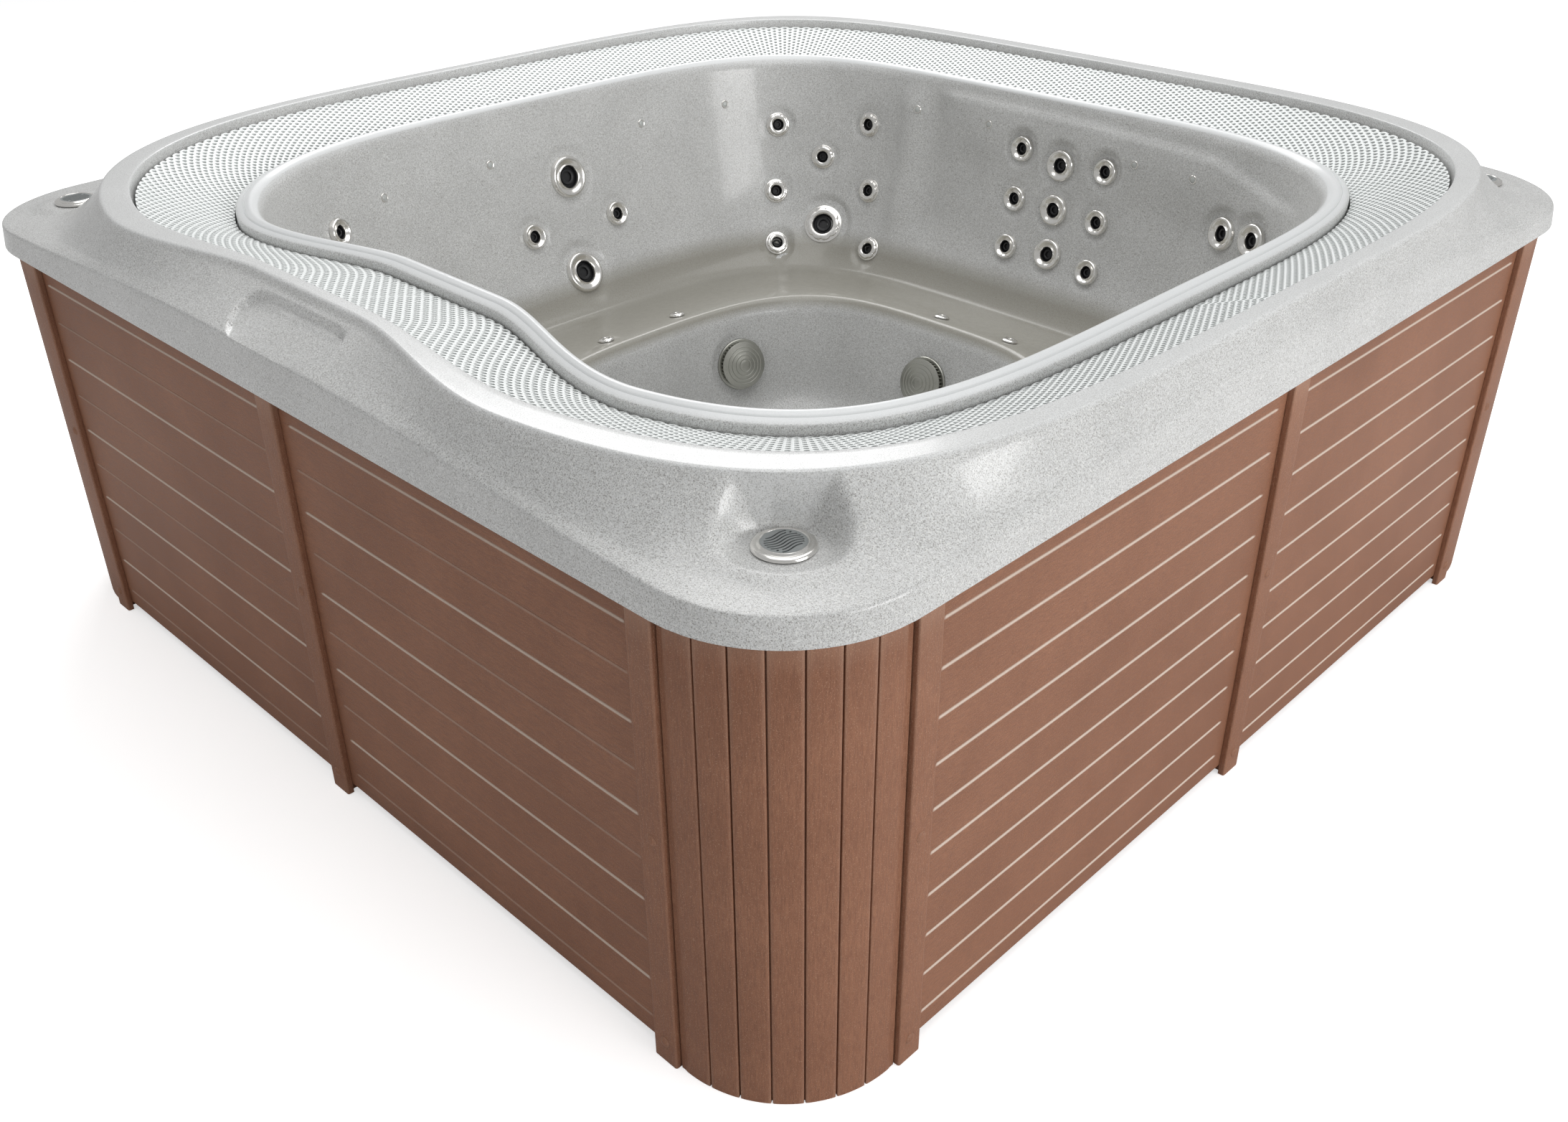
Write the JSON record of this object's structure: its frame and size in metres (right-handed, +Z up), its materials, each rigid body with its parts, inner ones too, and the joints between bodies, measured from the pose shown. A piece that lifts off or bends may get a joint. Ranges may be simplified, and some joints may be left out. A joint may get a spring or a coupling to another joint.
{
  "type": "overflow hot tub",
  "caption": "Square overflow hot tub: speckled grey acrylic shell with raised rim, sloping overflow grating, moulded seats, turning jets and corner speakers, in a grooved brown cabinet.",
  "frame": {"origin": "on the floor under the middle of the tub", "axes": "+Z up; -Y is the front side, whose rim curves in round the control recess; +X is the right side, as seen from the front"},
  "size_m": [2.244, 2.304, 0.905],
  "materials": {
    "acrylic_shell": "glossy, speckled grey like granite",
    "grating_white": "satin white",
    "chrome_trim": "polished, with dark bores",
    "speaker_trim": "chromed bezel round a grey grille",
    "cabinet_brown": "low gloss, finely textured composite",
    "frame_timber": "rough sawn, treated",
    "tray_black": "matt black",
    "pump_grey": "dark painted castings",
    "pack_grey": "matt grey housing"
  },
  "bodies": {
    "tub": {"shell": "acrylic_shell", "suction_cover_left": "chrome_trim", "suction_cover_back": "chrome_trim", "air_injector_1": "chrome_trim", "air_injector_2": "chrome_trim", "air_injector_3": "chrome_trim", "air_injector_4": "chrome_trim", "speaker_front_right": "speaker_trim", "speaker_front_left": "speaker_trim", "speaker_back_left": "speaker_trim", "speaker_back_right": "speaker_trim", "panel_front_a": "cabinet_brown", "panel_front_b": "cabinet_brown", "panel_right_a": "cabinet_brown", "panel_right_b": "cabinet_brown", "panel_back_a": "cabinet_brown", "panel_back_b": "cabinet_brown", "panel_left_a": "cabinet_brown", "panel_left_b": "cabinet_brown", "batten_front": "cabinet_brown", "batten_right": "cabinet_brown", "batten_back": "cabinet_brown", "batten_left": "cabinet_brown", "corner_cover_front_right": "cabinet_brown", "corner_cover_back_right": "cabinet_brown", "corner_cover_back_left": "cabinet_brown", "corner_cover_front_left": "cabinet_brown", "frame": "frame_timber", "base_tray": "tray_black", "jet_pump_left": "pump_grey", "jet_pump_right": "pump_grey", "control_and_heater_pack": "pack_grey"},
    "grating_back_right": {"grating_back_right": "grating_white"},
    "grating_back_left": {"grating_back_left": "grating_white"},
    "grating_front_left": {"grating_front_left": "grating_white"},
    "grating_front_right": {"grating_front_right": "grating_white"},
    "jet_corner_seat_1": {"jet_corner_seat_1": "chrome_trim"},
    "jet_corner_seat_2": {"jet_corner_seat_2": "chrome_trim"},
    "jet_corner_seat_3": {"jet_corner_seat_3": "chrome_trim"},
    "jet_corner_seat_4": {"jet_corner_seat_4": "chrome_trim"},
    "jet_corner_seat_5": {"jet_corner_seat_5": "chrome_trim"},
    "jet_corner_seat_6": {"jet_corner_seat_6": "chrome_trim"},
    "jet_corner_seat_7": {"jet_corner_seat_7": "chrome_trim"},
    "jet_corner_seat_8": {"jet_corner_seat_8": "chrome_trim"},
    "jet_left_seat_1": {"jet_left_seat_1": "chrome_trim"},
    "jet_left_seat_2": {"jet_left_seat_2": "chrome_trim"},
    "jet_left_seat_3": {"jet_left_seat_3": "chrome_trim"},
    "jet_left_seat_4": {"jet_left_seat_4": "chrome_trim"},
    "jet_back_seat_1": {"jet_back_seat_1": "chrome_trim"},
    "jet_back_seat_2": {"jet_back_seat_2": "chrome_trim"},
    "jet_back_seat_3": {"jet_back_seat_3": "chrome_trim"},
    "jet_back_seat_4": {"jet_back_seat_4": "chrome_trim"},
    "jet_back_seat_5": {"jet_back_seat_5": "chrome_trim"},
    "jet_back_seat_6": {"jet_back_seat_6": "chrome_trim"},
    "jet_back_seat_7": {"jet_back_seat_7": "chrome_trim"},
    "jet_back_seat_8": {"jet_back_seat_8": "chrome_trim"},
    "jet_back_seat_9": {"jet_back_seat_9": "chrome_trim"},
    "jet_side_seat_1": {"jet_side_seat_1": "chrome_trim"},
    "jet_side_seat_2": {"jet_side_seat_2": "chrome_trim"},
    "jet_front_seat_1": {"jet_front_seat_1": "chrome_trim"}
  },
  "joints": [
    {"name": "grating_back_right_lift", "type": "slide", "parent": "tub", "child": "grating_back_right", "axis": [0, 0, 1], "range_m": [0, 0.15]},
    {"name": "grating_back_left_lift", "type": "slide", "parent": "tub", "child": "grating_back_left", "axis": [0, 0, 1], "range_m": [0, 0.15]},
    {"name": "grating_front_left_lift", "type": "slide", "parent": "tub", "child": "grating_front_left", "axis": [0, 0, 1], "range_m": [0, 0.15]},
    {"name": "grating_front_right_lift", "type": "slide", "parent": "tub", "child": "grating_front_right", "axis": [0, 0, 1], "range_m": [0, 0.15]},
    {"name": "jet_corner_seat_1_turn", "type": "hinge", "parent": "tub", "child": "jet_corner_seat_1", "pos_m": [-0.72614, 0.71607, 0.694], "axis": [0.7816, -0.5793, 0.2313], "range_deg": [0, 90]},
    {"name": "jet_corner_seat_2_turn", "type": "hinge", "parent": "tub", "child": "jet_corner_seat_2", "pos_m": [-0.51294, 0.83052, 0.71], "axis": [0.1144, -0.9809, 0.1576], "range_deg": [0, 90]},
    {"name": "jet_corner_seat_3_turn", "type": "hinge", "parent": "tub", "child": "jet_corner_seat_3", "pos_m": [-0.62138, 0.77561, 0.618], "axis": [0.5015, -0.841, 0.2032], "range_deg": [0, 90]},
    {"name": "jet_corner_seat_4_turn", "type": "hinge", "parent": "tub", "child": "jet_corner_seat_4", "pos_m": [-0.69461, 0.67548, 0.535], "axis": [0.7578, -0.5308, 0.3795], "range_deg": [0, 90]},
    {"name": "jet_corner_seat_5_turn", "type": "hinge", "parent": "tub", "child": "jet_corner_seat_5", "pos_m": [-0.48235, 0.7996, 0.552], "axis": [0.1207, -0.9454, 0.3029], "range_deg": [0, 90]},
    {"name": "jet_corner_seat_6_turn", "type": "hinge", "parent": "tub", "child": "jet_corner_seat_6", "pos_m": [-0.64785, 0.63001, 0.416], "axis": [0.6851, -0.4808, 0.5472], "range_deg": [0, 90]},
    {"name": "jet_corner_seat_7_turn", "type": "hinge", "parent": "tub", "child": "jet_corner_seat_7", "pos_m": [-0.43512, 0.74761, 0.42], "axis": [0.1222, -0.8658, 0.4852], "range_deg": [0, 90]},
    {"name": "jet_corner_seat_8_turn", "type": "hinge", "parent": "tub", "child": "jet_corner_seat_8", "pos_m": [-0.57544, 0.72863, 0.46], "axis": [0.4474, -0.7085, 0.5458], "range_deg": [0, 90]},
    {"name": "jet_left_seat_1_turn", "type": "hinge", "parent": "tub", "child": "jet_left_seat_1", "pos_m": [-0.83096, 0.1035, 0.667], "axis": [0.9721, -0.0019, 0.2345], "range_deg": [0, 90]},
    {"name": "jet_left_seat_2_turn", "type": "hinge", "parent": "tub", "child": "jet_left_seat_2", "pos_m": [-0.79904, 0.22009, 0.557], "axis": [0.9469, -0.0243, 0.3206], "range_deg": [0, 90]},
    {"name": "jet_left_seat_3_turn", "type": "hinge", "parent": "tub", "child": "jet_left_seat_3", "pos_m": [-0.80086, -0.03357, 0.558], "axis": [0.9487, 0.0038, 0.3162], "range_deg": [0, 90]},
    {"name": "jet_left_seat_4_turn", "type": "hinge", "parent": "tub", "child": "jet_left_seat_4", "pos_m": [-0.76131, 0.07733, 0.453], "axis": [0.8941, -0.0022, 0.4479], "range_deg": [0, 90]},
    {"name": "jet_back_seat_1_turn", "type": "hinge", "parent": "tub", "child": "jet_back_seat_1", "pos_m": [-0.04934, 0.85567, 0.73], "axis": [0.0012, -0.9887, 0.15], "range_deg": [0, 90]},
    {"name": "jet_back_seat_2_turn", "type": "hinge", "parent": "tub", "child": "jet_back_seat_2", "pos_m": [0.06413, 0.85289, 0.712], "axis": [-0.0017, -0.9887, 0.1502], "range_deg": [0, 90]},
    {"name": "jet_back_seat_3_turn", "type": "hinge", "parent": "tub", "child": "jet_back_seat_3", "pos_m": [0.18618, 0.85391, 0.721], "axis": [-0.0318, -0.9876, 0.1536], "range_deg": [0, 90]},
    {"name": "jet_back_seat_4_turn", "type": "hinge", "parent": "tub", "child": "jet_back_seat_4", "pos_m": [-0.04832, 0.83806, 0.614], "axis": [0.0013, -0.9887, 0.15], "range_deg": [0, 90]},
    {"name": "jet_back_seat_5_turn", "type": "hinge", "parent": "tub", "child": "jet_back_seat_5", "pos_m": [0.06591, 0.8374, 0.61], "axis": [-0.0017, -0.9887, 0.1502], "range_deg": [0, 90]},
    {"name": "jet_back_seat_6_turn", "type": "hinge", "parent": "tub", "child": "jet_back_seat_6", "pos_m": [0.18697, 0.83644, 0.607], "axis": [-0.0335, -0.9876, 0.1537], "range_deg": [0, 90]},
    {"name": "jet_back_seat_7_turn", "type": "hinge", "parent": "tub", "child": "jet_back_seat_7", "pos_m": [-0.0423, 0.80714, 0.504], "axis": [0.0015, -0.9578, 0.2873], "range_deg": [0, 90]},
    {"name": "jet_back_seat_8_turn", "type": "hinge", "parent": "tub", "child": "jet_back_seat_8", "pos_m": [0.07794, 0.80944, 0.512], "axis": [-0.002, -0.9577, 0.2879], "range_deg": [0, 90]},
    {"name": "jet_back_seat_9_turn", "type": "hinge", "parent": "tub", "child": "jet_back_seat_9", "pos_m": [0.19447, 0.80384, 0.497], "axis": [-0.0364, -0.9546, 0.2958], "range_deg": [0, 90]},
    {"name": "jet_side_seat_1_turn", "type": "hinge", "parent": "tub", "child": "jet_side_seat_1", "pos_m": [0.51462, 0.81405, 0.661], "axis": [-0.3388, -0.9205, 0.1947], "range_deg": [0, 90]},
    {"name": "jet_side_seat_2_turn", "type": "hinge", "parent": "tub", "child": "jet_side_seat_2", "pos_m": [0.6001, 0.7849, 0.672], "axis": [-0.3374, -0.921, 0.1946], "range_deg": [0, 90]},
    {"name": "jet_front_seat_1_turn", "type": "hinge", "parent": "tub", "child": "jet_front_seat_1", "pos_m": [-0.77993, -0.54408, 0.698], "axis": [0.8964, 0.3701, 0.2439], "range_deg": [0, 90]}
  ]
}
